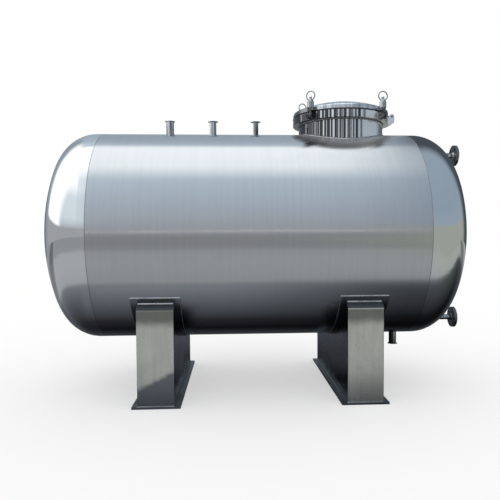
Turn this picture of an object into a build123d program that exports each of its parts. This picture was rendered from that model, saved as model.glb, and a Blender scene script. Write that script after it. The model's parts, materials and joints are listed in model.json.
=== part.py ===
from build123d import *
import os
from math import cos, radians, sin, sqrt, tan

os.makedirs("parts", exist_ok=True)

# Horizontal pressure tank of stainless steel on two box saddles.
# Millimetres. X runs along the tank, Y across it, Z up from the floor.
# The origin is on the floor, midway between the left head's apex and the gauge flanges' faces.

# Shell and dished heads
TANK_DIAMETER = 1000.0
SHELL_LENGTH = 1470.0
SHELL_WALL = 5.0
HEAD_WALL = 5.0
CROWN_RADIUS = 945.0
KNUCKLE_RADIUS = 169.0
STRAIGHT_FLANGE = 35.0
AXIS_HEIGHT = 752.0

# Clearances
WELD_GAP = 0.2
SEAT_GAP = 0.3
RUNNING_GAP = 0.05

# Saddles
SADDLE_FROM_SEAM = 275.0
BASE_WIDTH = 212.0
BASE_THICKNESS = 10.0
BOX_WIDTH = 161.0
BOX_STANDOFF = 15.5
BASE_MARGIN = 4.0
SADDLE_PLATE = 6.0
SADDLE_EDGE_RADIUS = 4.0
LIP_RISE = 49.0
LIP_ANGLE = 54.0
WEAR_PLATE_WIDTH = 214.0
WEAR_PLATE_THICKNESS = 5.0
WEAR_PLATE_ANGLE = 57.2

# Manhole neck, ring, gasket and lid
MANHOLE_FROM_SEAM = 305.0
NECK_DIAMETER = 422.0
NECK_WALL = 6.0
RING_DIAMETER = 480.0
RING_HEIGHT = 36.0
NECK_HEIGHT = 88.0
GASKET_THICKNESS = 6.0
GASKET_INSET = 4.0
LID_DIAMETER = 477.0
LID_WALL = 6.0
LID_RIM_HEIGHT = 10.0
LID_RIM_WIDTH = 28.0
LID_SKIRT_HEIGHT = 12.0
LID_KNUCKLE_RADIUS = 10.0
LID_CROWN_RADIUS = 600.0

# Swing bolts with eye nuts, four round the manhole
BOLT_CIRCLE_RADIUS = 256.0
BOLT_DIAMETER = 14.0
BOLT_PIN_DIAMETER = 10.0
BOLT_PIN_BELOW_RING_TOP = 20.0
BOLT_EYE_RADIUS = 12.0
BOLT_EYE_WIDTH = 14.0
BOLT_LENGTH = 86.0
EAR_THICKNESS = 10.0
EAR_RADIUS = 15.0
EAR_SIDE_GAP = 0.5
EAR_ROOT = 2.0
FORK_THICKNESS = 13.0
FORK_BELOW_RIM_TOP = 1.0
FORK_WIDTH = 36.0
FORK_REACH = 5.0
FORK_SLOT_GAP = 1.0
NUT_RADIUS = 16.0
NUT_TOP_RADIUS = 9.5
NUT_SLEEVE_HEIGHT = 27.0
NUT_CONE_HEIGHT = 12.0
NUT_RING_RADIUS = 21.5
NUT_RING_WIRE = 3.0
NUT_RING_SINK = 4.5

# Bearing of each swing bolt about the manhole from +X, turn of its nut, and how far the nut is backed off
SWING_BOLTS = {
    "front_left": (226.0, -33.0, 0.0),
    "front_right": (311.0, 4.0, 0.0),
    "back_left": (131.0, 20.0, 30.0),
    "back_right": (46.0, -25.0, 0.0),
}

# Lid hinge, on the manhole's +X side
HINGE_RADIUS = 260.0
HINGE_PIN_DIAMETER = 12.0
HINGE_EAR_RADIUS = 12.0
HINGE_EAR_THICKNESS = 10.0
HINGE_LEAF_WIDTH = 40.0
HINGE_LEAF_RADIUS = 11.0
HINGE_LEAF_THICKNESS = 10.0
HINGE_FOOT_WIDTH = 4.0
HINGE_FOOT_SLOPE = 16.0
PIN_END = 2.0

# Clamp ferrules: three on the crown line and one drain on the bottom line
FERRULE_FLANGE_DIAMETER = 50.5
FERRULE_RIM = 1.6
FERRULE_TAPER_ANGLE = 20.0
FERRULE_WALL = 1.5
FERRULE_GROOVE_RADIUS = 21.8
FERRULE_GROOVE_WIDTH = 3.2
FERRULE_GROOVE_DEPTH = 1.2
FERRULE_HEIGHT = 72.0
FERRULE_FROM_MANHOLE = 432.0
FERRULE_SPACING = 215.0
TOP_FERRULE_DIAMETERS = {
    "top_ferrule_small": 27.0,
    "top_ferrule_middle": 33.0,
    "top_ferrule_large": 38.0,
}
DRAIN_FROM_SEAM = 28.0
DRAIN_DIAMETER = 38.0
DRAIN_HEIGHT = 68.0

# Level gauge nozzles on the right head
GAUGE_UPPER_INSET = 95.0
GAUGE_LOWER_INSET = 67.0
GAUGE_REACH = 299.0
GAUGE_PIPE_DIAMETER = 26.9
GAUGE_PIPE_WALL = 2.6
GAUGE_FLANGE_DIAMETER = 105.0
GAUGE_FLANGE_THICKNESS = 14.0
GAUGE_FACE_DIAMETER = 58.0
GAUGE_FACE_HEIGHT = 2.0
GAUGE_BOLT_CIRCLE = 75.0
GAUGE_BOLT_HOLE = 14.0
GAUGE_BOLT_COUNT = 4
GAUGE_PIPE_SETBACK = 4.0

# Worked out from the sizes above
tank_radius = TANK_DIAMETER / 2
seam_x = SHELL_LENGTH / 2
crown_drop = sqrt((CROWN_RADIUS - KNUCKLE_RADIUS) ** 2 - (tank_radius - KNUCKLE_RADIUS) ** 2)
head_depth = STRAIGHT_FLANGE + CROWN_RADIUS - crown_drop
gauge_face_x = seam_x + GAUGE_REACH
gauge_heights = {"upper": tank_radius - GAUGE_UPPER_INSET, "lower": GAUGE_LOWER_INSET - tank_radius}
manhole_x = seam_x - MANHOLE_FROM_SEAM
drain_x = seam_x - DRAIN_FROM_SEAM
top_ferrules = {
    name: (manhole_x - FERRULE_FROM_MANHOLE - number * FERRULE_SPACING, diameter)
    for number, (name, diameter) in enumerate(TOP_FERRULE_DIAMETERS.items())
}
shell_middle_x = (seam_x + head_depth - gauge_face_x) / 2
shell_top = AXIS_HEIGHT + tank_radius
ring_top = shell_top + NECK_HEIGHT
ring_bottom = ring_top - RING_HEIGHT
lid_seat = ring_top + GASKET_THICKNESS
bolt_pin_z = ring_top - BOLT_PIN_BELOW_RING_TOP
fork_top = lid_seat + LID_RIM_HEIGHT - FORK_BELOW_RIM_TOP
ring_radius = RING_DIAMETER / 2
lid_radius = LID_DIAMETER / 2
wear_radius = tank_radius + WEAR_PLATE_THICKNESS
axis = Location((shell_middle_x, 0, AXIS_HEIGHT))
manhole = Location((shell_middle_x + manhole_x, 0, 0))


def face_of(*edges):
    """A flat face inside a closed outline of edges."""
    return make_face(Curve() + list(edges))


def polygon(*points):
    """A flat face with straight sides."""
    return make_face(Polyline(*points, close=True))


def turned(face):
    """A face drawn as radius and height, turned about the vertical."""
    return revolve(Plane.XZ * face, Axis.Z)


def rod_x(radius, start, end):
    """A round rod along X between two places."""
    return Location(((start + end) / 2, 0, 0)) * Rotation(0, 90, 0) * Cylinder(radius, end - start)


def rod_y(radius, length):
    """A round rod along Y, centred."""
    return Rotation(90, 0, 0) * Cylinder(radius, length)


def dished(wall_offset):
    """A torispherical head's half outline, inward by an offset, turned about the tank's axis to a solid."""
    radius = tank_radius - wall_offset
    crown = CROWN_RADIUS - wall_offset
    knuckle = KNUCKLE_RADIUS - wall_offset
    knuckle_y = tank_radius - KNUCKLE_RADIUS
    knuckle_angle = 90 - Vector(crown_drop, knuckle_y).get_angle(Vector(1, 0))
    crown_angle = 90 - knuckle_angle
    crown_x = STRAIGHT_FLANGE - crown_drop
    tip = crown_x + crown
    outline = face_of(
        Line((0, 0), (0, radius)),
        Line((0, radius), (STRAIGHT_FLANGE, radius)),
        CenterArc((STRAIGHT_FLANGE, knuckle_y), knuckle, 90, -knuckle_angle),
        CenterArc((crown_x, 0), crown, crown_angle, -crown_angle),
        Line((tip, 0), (0, 0)),
    )
    return revolve(outline, Axis.X)


head_outside = dished(0)
head_inside = dished(HEAD_WALL)
shell_bore = axis * rod_x(tank_radius - SHELL_WALL, -seam_x, seam_x)


def make_head(side):
    """One dished head: left is -1 and right is 1."""
    place = axis * Location((side * seam_x, 0, 0)) * Rotation(0, 0, 0 if side > 0 else 180)
    head = place * (head_outside - head_inside)
    if side > 0:
        for height in gauge_heights.values():
            hole = rod_x(GAUGE_PIPE_DIAMETER / 2 + WELD_GAP, seam_x, gauge_face_x)
            head -= axis * Location((0, 0, height)) * hole
    return head


def make_shell():
    """The rolled shell with its nozzle holes."""
    shell = axis * rod_x(tank_radius, -seam_x, seam_x) - shell_bore
    holes = [(manhole_x, NECK_DIAMETER, 1), (drain_x, DRAIN_DIAMETER, -1)]
    holes += [(x, diameter, 1) for x, diameter in top_ferrules.values()]
    for x, diameter, up in holes:
        drill = Cylinder(diameter / 2 + WELD_GAP, TANK_DIAMETER, align=(Align.CENTER, Align.CENTER, Align.MIN))
        shell -= axis * Location((x, 0, 0)) * Rotation(0 if up > 0 else 180, 0, 0) * drill
    return shell


def make_neck():
    """The manhole's neck, cut flush with the inside of the shell."""
    outer = NECK_DIAMETER / 2
    inner = outer - NECK_WALL
    tube = turned(polygon((inner, AXIS_HEIGHT), (outer, AXIS_HEIGHT), (outer, ring_top), (inner, ring_top)))
    return manhole * tube - shell_bore


def at_bolt(bearing):
    """Place of a swing bolt's pin, with X pointing away from the manhole."""
    return manhole * Rotation(0, 0, bearing) * Location((BOLT_CIRCLE_RADIUS, 0, bolt_pin_z))


def make_ring():
    """The neck's ring with a pair of ears for each swing bolt and a pair for the lid's hinge."""
    inner = NECK_DIAMETER / 2 + WELD_GAP
    ring = manhole * turned(
        polygon((inner, ring_bottom), (ring_radius, ring_bottom), (ring_radius, ring_top), (inner, ring_top))
    )
    root = ring_radius - BOLT_CIRCLE_RADIUS - EAR_ROOT
    cheek = polygon((root, -EAR_RADIUS), (0, -EAR_RADIUS), (0, EAR_RADIUS), (root, EAR_RADIUS)) + Circle(EAR_RADIUS)
    cheek -= Circle(BOLT_PIN_DIAMETER / 2 + RUNNING_GAP)
    ear = extrude(Plane.XZ * cheek, EAR_THICKNESS)
    offset = BOLT_EYE_WIDTH / 2 + EAR_SIDE_GAP
    for bearing, _, _ in SWING_BOLTS.values():
        for y in (-offset, offset + EAR_THICKNESS):
            ring += at_bolt(bearing) * Location((0, y, 0)) * ear
    reach = HINGE_RADIUS
    top = lid_seat + HINGE_LEAF_THICKNESS / 2
    cheek = polygon(
        (ring_radius - EAR_ROOT, ring_bottom),
        (ring_radius + HINGE_FOOT_WIDTH, ring_bottom),
        (reach + HINGE_EAR_RADIUS, ring_bottom + HINGE_FOOT_SLOPE),
        (reach + HINGE_EAR_RADIUS, top),
        (reach - HINGE_EAR_RADIUS, top),
        (ring_radius, ring_top - EAR_ROOT),
        (ring_radius - EAR_ROOT, ring_top - EAR_ROOT),
    )
    cheek += Location((reach, top)) * Circle(HINGE_EAR_RADIUS)
    cheek -= Location((reach, top)) * Circle(HINGE_PIN_DIAMETER / 2 + RUNNING_GAP)
    ear = extrude(Plane.XZ * cheek, HINGE_EAR_THICKNESS)
    offset = HINGE_LEAF_WIDTH / 2 + EAR_SIDE_GAP
    for y in (-offset, offset + HINGE_EAR_THICKNESS):
        ring += manhole * Location((0, y, 0)) * ear
    return ring


def make_gasket():
    """The flat gasket between the ring and the lid."""
    outer = lid_radius - GASKET_INSET
    inner = NECK_DIAMETER / 2 - NECK_WALL + GASKET_INSET
    return manhole * turned(polygon((inner, ring_top), (outer, ring_top), (outer, lid_seat), (inner, lid_seat)))


def make_lid():
    """The dished lid with its rim, a fork for each swing bolt and the hinge leaf."""
    rim_inner = lid_radius - LID_RIM_WIDTH
    knuckle_r = lid_radius - LID_KNUCKLE_RADIUS
    knuckle_z = lid_seat + LID_SKIRT_HEIGHT
    drop = sqrt((LID_CROWN_RADIUS - LID_KNUCKLE_RADIUS) ** 2 - knuckle_r ** 2)
    knuckle_angle = Vector(knuckle_r, drop).get_angle(Vector(1, 0))
    crown_z = knuckle_z - drop
    inside = LID_CROWN_RADIUS - LID_WALL
    rim_outer = lid_radius - LID_WALL / 2
    rim_top = lid_seat + LID_RIM_HEIGHT
    rim = polygon((rim_inner, lid_seat), (rim_outer, lid_seat), (rim_outer, rim_top), (rim_inner, rim_top))
    dome = face_of(
        Line((lid_radius - LID_WALL, lid_seat), (lid_radius, lid_seat)),
        Line((lid_radius, lid_seat), (lid_radius, knuckle_z)),
        CenterArc((knuckle_r, knuckle_z), LID_KNUCKLE_RADIUS, 0, knuckle_angle),
        CenterArc((0, crown_z), LID_CROWN_RADIUS, knuckle_angle, 90 - knuckle_angle),
        Line((0, crown_z + LID_CROWN_RADIUS), (0, crown_z + inside)),
        CenterArc((0, crown_z), inside, knuckle_angle, 90 - knuckle_angle),
        CenterArc((knuckle_r, knuckle_z), LID_KNUCKLE_RADIUS - LID_WALL, 0, knuckle_angle),
        Line((lid_radius - LID_WALL, knuckle_z), (lid_radius - LID_WALL, lid_seat)),
    )
    lid = manhole * turned(dome + rim)
    slot = BOLT_DIAMETER / 2 + FORK_SLOT_GAP
    root = lid_radius - BOLT_CIRCLE_RADIUS - EAR_ROOT
    plan = Location((root / 2, 0)) * Rectangle(-root, FORK_WIDTH) + Circle(FORK_WIDTH / 2)
    plan -= Circle(slot) + Location((FORK_WIDTH / 2, 0)) * Rectangle(FORK_WIDTH, 2 * slot)
    plan -= Location((FORK_REACH + FORK_WIDTH / 2, 0)) * Rectangle(FORK_WIDTH, FORK_WIDTH)
    fork = extrude(plan, FORK_THICKNESS)
    for bearing, _, _ in SWING_BOLTS.values():
        lid += at_bolt(bearing) * Location((0, 0, fork_top - FORK_THICKNESS - bolt_pin_z)) * fork
    middle = lid_seat + HINGE_LEAF_THICKNESS / 2
    span = HINGE_RADIUS - lid_radius + EAR_ROOT
    leaf = Location((HINGE_RADIUS - span / 2, 0, middle)) * Box(span, HINGE_LEAF_WIDTH, HINGE_LEAF_THICKNESS)
    knuckle = Location((HINGE_RADIUS, 0, middle))
    leaf += knuckle * rod_y(HINGE_LEAF_RADIUS, HINGE_LEAF_WIDTH)
    leaf -= knuckle * rod_y(HINGE_PIN_DIAMETER / 2 + RUNNING_GAP, HINGE_LEAF_WIDTH)
    return lid + manhole * leaf


def make_hinge_pin():
    """The pin through the lid's hinge, standing a little proud at both ends."""
    length = HINGE_LEAF_WIDTH + 2 * (EAR_SIDE_GAP + HINGE_EAR_THICKNESS + PIN_END)
    place = Location((HINGE_RADIUS, 0, lid_seat + HINGE_LEAF_THICKNESS / 2))
    return manhole * place * rod_y(HINGE_PIN_DIAMETER / 2, length)


def make_bolt_pin(bearing):
    """The pin that a swing bolt turns on."""
    length = BOLT_EYE_WIDTH + 2 * (EAR_SIDE_GAP + EAR_THICKNESS + PIN_END)
    return at_bolt(bearing) * rod_y(BOLT_PIN_DIAMETER / 2, length)


def make_swing_bolt(bearing):
    """An eye bolt that stands on its pin."""
    bolt = rod_y(BOLT_EYE_RADIUS, BOLT_EYE_WIDTH)
    bolt += Cylinder(BOLT_DIAMETER / 2, BOLT_LENGTH, align=(Align.CENTER, Align.CENTER, Align.MIN))
    bolt -= rod_y(BOLT_PIN_DIAMETER / 2 + RUNNING_GAP, 2 * BOLT_EYE_WIDTH)
    return at_bolt(bearing) * bolt


def make_eye_nut(bearing, turn, backed_off):
    """A sleeve nut with a lifting ring, seated on the lid's fork or backed off it."""
    profile = polygon(
        (0, 0),
        (NUT_RADIUS, 0),
        (NUT_RADIUS, NUT_SLEEVE_HEIGHT),
        (NUT_TOP_RADIUS, NUT_SLEEVE_HEIGHT + NUT_CONE_HEIGHT),
        (0, NUT_SLEEVE_HEIGHT + NUT_CONE_HEIGHT),
    )
    height = NUT_SLEEVE_HEIGHT + NUT_CONE_HEIGHT
    ring = Location((0, 0, height + NUT_RING_RADIUS - NUT_RING_SINK)) * Rotation(90, 0, 0)
    nut = turned(profile) + ring * Torus(NUT_RING_RADIUS, NUT_RING_WIRE)
    bore = Cylinder(BOLT_DIAMETER / 2 + RUNNING_GAP, height + 2 * NUT_RING_WIRE,
                    align=(Align.CENTER, Align.CENTER, Align.MIN))
    seat = fork_top + SEAT_GAP + backed_off - bolt_pin_z
    return at_bolt(bearing) * Location((0, 0, seat)) * Rotation(0, 0, turn - bearing) * (nut - bore)


def make_ferrule(x, diameter, height, up):
    """A clamp ferrule on its tube, cut flush with the inside of the shell."""
    outer = diameter / 2
    inner = outer - FERRULE_WALL
    rim = FERRULE_FLANGE_DIAMETER / 2
    top = tank_radius + height
    foot = top - FERRULE_RIM - (rim - outer) * tan(radians(FERRULE_TAPER_ANGLE))
    start = tank_radius - 4 * SHELL_WALL
    profile = polygon((inner, start), (outer, start), (outer, foot), (rim, top - FERRULE_RIM), (rim, top), (inner, top))
    groove = Location((FERRULE_GROOVE_RADIUS, top)) * Rectangle(FERRULE_GROOVE_WIDTH, 2 * FERRULE_GROOVE_DEPTH)
    ferrule = turned(profile - groove)
    place = axis * Location((x, 0, 0)) * Rotation(0 if up else 180, 0, 0)
    return place * ferrule - shell_bore


def make_gauge_pipe(height):
    """A gauge nozzle's pipe, cut flush with the inside of the right head."""
    end = gauge_face_x - GAUGE_PIPE_SETBACK
    outer = GAUGE_PIPE_DIAMETER / 2
    pipe = rod_x(outer, seam_x, end) - rod_x(outer - GAUGE_PIPE_WALL, seam_x, end)
    cavity = Location((seam_x, 0, 0)) * head_inside
    return axis * (Location((0, 0, height)) * pipe - cavity)


def make_gauge_flange(height):
    """A slip-on plate flange with a raised face."""
    back = gauge_face_x - GAUGE_FACE_HEIGHT - GAUGE_FLANGE_THICKNESS
    flange = rod_x(GAUGE_FLANGE_DIAMETER / 2, back, back + GAUGE_FLANGE_THICKNESS)
    flange += rod_x(GAUGE_FACE_DIAMETER / 2, back, gauge_face_x)
    flange -= rod_x(GAUGE_PIPE_DIAMETER / 2 + WELD_GAP, back, gauge_face_x)
    hole = rod_x(GAUGE_BOLT_HOLE / 2, back, gauge_face_x)
    for number in range(GAUGE_BOLT_COUNT):
        turn = Rotation((number + 0.5) * 360 / GAUGE_BOLT_COUNT, 0, 0)
        flange -= turn * Location((0, 0, GAUGE_BOLT_CIRCLE / 2)) * hole
    return axis * Location((0, 0, height)) * flange


def wrap_point(radius, angle):
    """Y and Z of a point on a circle about the tank's axis, at an angle from the bottom."""
    return radius * sin(radians(angle)), AXIS_HEIGHT - radius * cos(radians(angle))


wear_edge_y, wear_edge_z = wrap_point(wear_radius, WEAR_PLATE_ANGLE)
box_half_length = wear_edge_y + BOX_STANDOFF
base_half_length = box_half_length + BASE_MARGIN
lip_bend_z = wear_edge_z - LIP_RISE


def web_outline():
    """The saddle's end view inside its front and back plates, up to the wear plate, seen along X."""
    inside = box_half_length - SADDLE_PLATE
    lip_y, lip_z = wrap_point(wear_radius + WELD_GAP, LIP_ANGLE)
    lip_y -= SADDLE_PLATE
    block = polygon(
        (-inside, BASE_THICKNESS),
        (inside, BASE_THICKNESS),
        (inside, lip_bend_z),
        (lip_y, lip_z),
        (-lip_y, lip_z),
        (-inside, lip_bend_z),
    )
    return block - Location((0, AXIS_HEIGHT)) * Circle(wear_radius + WELD_GAP)


def make_front_plate():
    """The saddle's end plate, upright and then bent in to meet the wear plate; drawn for the +Y end."""
    outside = box_half_length
    inside = outside - SADDLE_PLATE
    lip_y, lip_z = wrap_point(wear_radius + WELD_GAP, LIP_ANGLE)
    profile = polygon(
        (inside, BASE_THICKNESS),
        (outside, BASE_THICKNESS),
        (outside, lip_bend_z),
        (lip_y, lip_z),
        (lip_y - SADDLE_PLATE, lip_z),
        (inside, lip_bend_z),
    )
    profile -= Location((0, AXIS_HEIGHT)) * Circle(wear_radius + WELD_GAP)
    plate = Location((BOX_WIDTH / 2, 0, 0)) * extrude(Plane.YZ * profile, -BOX_WIDTH)
    face = plate.faces().sort_by(Axis.Y)[-1]
    sides = face.edges().filter_by(Axis.Z)
    return fillet(sides, SADDLE_EDGE_RADIUS)


def saddle_pieces(side_name, x):
    """The six plates of one saddle, with its middle at x from the shell's middle."""
    place = Location((shell_middle_x + x, 0, 0))
    base = Location((0, 0, BASE_THICKNESS / 2)) * Box(BASE_WIDTH, 2 * base_half_length, BASE_THICKNESS)
    end_plate = make_front_plate()
    web = extrude(Plane.YZ * web_outline(), SADDLE_PLATE)
    web_x = BOX_WIDTH / 2 - SADDLE_PLATE
    wear = Location((0, 0, AXIS_HEIGHT)) * (
        rod_x(wear_radius, -WEAR_PLATE_WIDTH / 2, WEAR_PLATE_WIDTH / 2)
        - rod_x(tank_radius + WELD_GAP, -WEAR_PLATE_WIDTH / 2, WEAR_PLATE_WIDTH / 2)
    )
    edge_y, edge_z = wrap_point(2 * wear_radius, WEAR_PLATE_ANGLE)
    sector = polygon((0, AXIS_HEIGHT), (edge_y, edge_z), (0, -AXIS_HEIGHT), (-edge_y, edge_z))
    wear &= Location((WEAR_PLATE_WIDTH / 2, 0, 0)) * extrude(Plane.YZ * sector, -WEAR_PLATE_WIDTH)
    return {
        f"{side_name}_base_plate": place * base,
        f"{side_name}_back_plate": place * end_plate,
        f"{side_name}_front_plate": place * Rotation(0, 0, 180) * end_plate,
        f"{side_name}_right_web": place * Location((web_x, 0, 0)) * web,
        f"{side_name}_left_web": place * Location((-web_x - SADDLE_PLATE, 0, 0)) * web,
        f"{side_name}_wear_plate": place * wear,
    }


pieces = {
    "shell": make_shell(),
    "head_left": make_head(-1),
    "head_right": make_head(1),
    "manhole_neck": make_neck(),
    "manhole_ring": make_ring(),
    "manhole_gasket": make_gasket(),
    "manhole_lid": make_lid(),
    "lid_hinge_pin": make_hinge_pin(),
    "drain_ferrule": make_ferrule(drain_x, DRAIN_DIAMETER, DRAIN_HEIGHT, False),
}
for name, (x, diameter) in top_ferrules.items():
    pieces[name] = make_ferrule(x, diameter, FERRULE_HEIGHT, True)
for name, height in gauge_heights.items():
    pieces[f"gauge_pipe_{name}"] = make_gauge_pipe(height)
    pieces[f"gauge_flange_{name}"] = make_gauge_flange(height)
for name, (bearing, turn, backed_off) in SWING_BOLTS.items():
    pieces[f"bolt_pin_{name}"] = make_bolt_pin(bearing)
    pieces[f"swing_bolt_{name}"] = make_swing_bolt(bearing)
    pieces[f"eye_nut_{name}"] = make_eye_nut(bearing, turn, backed_off)
pieces.update(saddle_pieces("left_saddle", SADDLE_FROM_SEAM - seam_x))
pieces.update(saddle_pieces("right_saddle", seam_x - SADDLE_FROM_SEAM))

for name, piece in pieces.items():
    export_step(piece, f"parts/{name}.step")
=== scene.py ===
import json
import math

import bpy
import numpy as np
from mathutils import Matrix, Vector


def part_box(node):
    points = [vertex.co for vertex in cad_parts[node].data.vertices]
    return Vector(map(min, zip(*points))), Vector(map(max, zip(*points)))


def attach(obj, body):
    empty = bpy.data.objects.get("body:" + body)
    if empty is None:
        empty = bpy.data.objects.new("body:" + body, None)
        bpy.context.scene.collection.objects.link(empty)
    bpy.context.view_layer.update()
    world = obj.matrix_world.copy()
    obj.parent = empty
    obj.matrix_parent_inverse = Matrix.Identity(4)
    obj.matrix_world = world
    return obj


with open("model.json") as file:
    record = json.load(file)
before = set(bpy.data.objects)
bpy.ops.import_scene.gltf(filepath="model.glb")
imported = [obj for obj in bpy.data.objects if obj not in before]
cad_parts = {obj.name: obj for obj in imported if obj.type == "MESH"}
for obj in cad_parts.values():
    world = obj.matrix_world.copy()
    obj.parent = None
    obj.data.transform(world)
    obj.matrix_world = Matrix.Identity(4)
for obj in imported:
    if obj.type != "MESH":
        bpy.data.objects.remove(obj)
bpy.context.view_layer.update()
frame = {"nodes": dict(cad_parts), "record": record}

# Camera, from the photograph's perspective, in metres, degrees and pixels
CAMERA_PLACE = (-0.132, -2.802, 0.7455)
CAMERA_YAW = -3.093
CAMERA_PITCH = -2.667
CAMERA_ROLL = -0.309
FOCAL_PIXELS = 547.58
FRAME_PIXELS = 500.0
CENTRE_PIXEL = (262.62, 261.88)
SENSOR_WIDTH = 36.0

# Studio, in metres
STAGE_RADIUS = 14.0
FLOOR_COLOUR = (0.97, 0.97, 0.965, 1)
FLOOR_GLOW = 0.5
WHITE = (1, 1, 1, 1)
GROUND_LIFT = 0.0005
TENT_STRENGTH = 1.22
WORLD_STRENGTH = 1.03

# Places read from the frame, in metres
shell_low, shell_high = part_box("shell")
TANK_RADIUS = (shell_high.z - shell_low.z) / 2
AXIS_Z = (shell_high.z + shell_low.z) / 2
SEAM_X = {"left": shell_low.x, "right": shell_high.x}
HALF_LENGTH = (shell_high.x - shell_low.x) / 2
TANK_CENTRE = ((shell_low.x + shell_high.x) / 2, 0.0, AXIS_Z)
neck_low, neck_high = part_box("manhole_neck")
NECK_RADIUS = (neck_high.x - neck_low.x) / 2
MANHOLE_X = (neck_high.x + neck_low.x) / 2
MANHOLE_CENTRE = (MANHOLE_X, 0.0, 0.0)
RING_TOP = neck_high.z
RING_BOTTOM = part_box("manhole_ring")[0].z
LID_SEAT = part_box("manhole_lid")[0].z

# Sizes of the CAD pieces that no box gives, in metres
RING_RADIUS = 0.240
LID_RADIUS = 0.2385
BOLT_RADIUS = 0.007
WEAR_PLATE_THICKNESS = 0.005
TOP_FERRULE_RADII = {"large": 0.019, "middle": 0.0165, "small": 0.0135}
DRAIN_RADIUS = 0.019
GAUGE_PIPE_RADIUS = 0.01345
STRAIGHT_FLANGE = 0.035
KNUCKLE_RADIUS = 0.169
CROWN_EDGE = 0.403
CROWN_RADIUS = 0.945
CROWN_CENTRE = HALF_LENGTH + (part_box("head_right")[1].x - shell_high.x) - CROWN_RADIUS
LENGTHWISE = np.array([1.0, 0, 0])

# Weld beads and threads, in metres
THIN_WELD = 0.003
MIDDLE_WELD = 0.004
THICK_WELD = 0.005
WELD_SINK = 0.0006
RIPPLE_PITCH = 0.004
RIPPLE_SWELL = 0.10
WELD_STEP = 0.0008
EDGE_STEP = 0.0012
THREAD_PITCH = 0.002
THREAD_ROOT = 0.0003
THREAD_HEIGHT = 0.0004
THREAD_FADE = 0.001
THREAD_STEP = 0.0004
OVER_EYE = 0.0245
INTO_NUT = 0.0015

# Steel: what smudges, streaks and lost polish change, the brushing's depth and the sheen's turn
DARKER = 0.72
SMUDGE_SHADE = 0.5
SMUDGE_ROUGHNESS = 0.18
DULL_ROUGHNESS = 0.34
DULL_METALLIC = -0.22
GRAIN_DEPTH = 0.0002
SHEEN_TURN = 0.25

# Manhole: bearings about its axis in radians, painted reflection streaks to a radian, and the
# width over which painted shade comes in on the arms
LEFT_END = math.radians(198)
CALM_STRETCH = math.radians(-54)
LEFTWARD_GAIN = 0.13
REFLECTION_STREAK_COUNT = 17.0
LID_STREAK_COUNT = 9.0
ARM_FADE = 0.001

# Saddles' front plates: the bend's height, and the edge of the painted reflection of the ground's
# shade on the left saddle's foot, a line that rises to the right
BEND_HEIGHT = 0.4262
FOOT_SHADE_X = -0.45
FOOT_SHADE_SLOPE = 0.47
FOOT_SHADE_HEIGHT = 0.135

# Fades: where each starts and ends, in metres or in the unit of what it follows, and then its
# strength at both places where that isn't 0 and 1
FADES = dict(
    heat_tint=(1.0, 0.4),
    # Painted reflection streaks and painted shade on the manhole, its lid and the bolts' rods
    reflection_streaks=(0.495, 0.545, 0.0, 0.96),
    ring_left_end=(0.84, 0.97, 0.0, 0.60),
    calm_stretch=(0.985, 0.93),
    beside_hinge=(0.13, 0.17),
    under_ring=(0.0012, 0.0002, 0.0, 0.45),
    past_neck=(NECK_RADIUS + 0.0003, NECK_RADIUS + 0.001),
    lid_reflection_streaks=(0.44, 0.62, 0.0, 0.50),
    lid_outer_part=(0.14, 0.21),
    lid_left_end=(0.80, 0.95, 0.0, 0.88),
    lid_rim=(0.215, 0.232),
    below_nuts=(LID_SEAT + 0.013, LID_SEAT + 0.009, 0.0, 0.82),
    drain_left=(0.004, -0.003, 0.0, 0.92),
    near_neck=(0.35, 0.22),
    upper_shell=(AXIS_Z + 0.2, AXIS_Z + 0.3),
    near_pole=(0.16, 0.12),
    seam_lean=(0.10, 0.03, 0.0, 0.078),
    inside_saddle=(0.085, 0.0, 0.0, 0.80),
    over_saddle=(-0.20, -0.10),
    shell_underside=(-0.27, -0.36),
    # Painted shade on the saddles' webs and wear plates
    web_under_tank=(0.285, 0.345, 0.0, 0.88),
    web_to_floor=(0.16, 0.05, 0.0, 0.72),
    wear_plate_foot=(0.470, 0.435, 0.0, 0.80),
    # Painted shade, a painted highlight and a painted reflection of the ground's shade on the
    # saddles' front plates
    front_under_lip=(0.340, 0.395, 0.0, 0.80),
    lip=(0.4270, 0.4330, 0.0, 0.75),
    bend_line=(0.0030, 0.0012),
    bend_rightward=(-0.1, 0.1, 0.2, 0.8),
    foot_shade=(-0.012, 0.016, 0.0, 0.86),
    foot_shade_left=(0.0, -0.1),
    foot_shade_front=(0.0, -0.1),
    # The glowing sky that the steel mirrors, a painted reflection
    arch_edge=(0.20, 0.34),
    lamp_width=(0.2, 0.7),
    lamp_depth=(0.0045, 0.0020),
    lamp_row=(0.36, 0.30),
    white_sideways=(-0.50, -0.25),
    white_upward=(0.165, 0.20),
    left_back=(0.40, 0.62),
    right_back=(0.15, 0.50),
    left_side=(-0.36, -0.47),
    right_side=(0.285, 0.365),
    far_low=(0.38, 0.12),
    far_back=(0.74, 0.94),
    # The glowing ground that the steel mirrors, with the tank's painted shadow
    ground_rightward=(0.4, 1.2),
    ground_behind=(0.0, 0.5),
    ground_yard=(3.6, 1.9),
    ground_near=(1.02, 0.68),
    gain_rightward=(-0.35, 0.95, 1.38, 0.42),
    gain_leftward=(-0.82, -1.05, 1.0, 0.66),
    ground_olive=(0.9, 1.7),
    open_rightward=(1.4, 2.4),
    open_outward=(1.2, 2.0),
)

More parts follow.
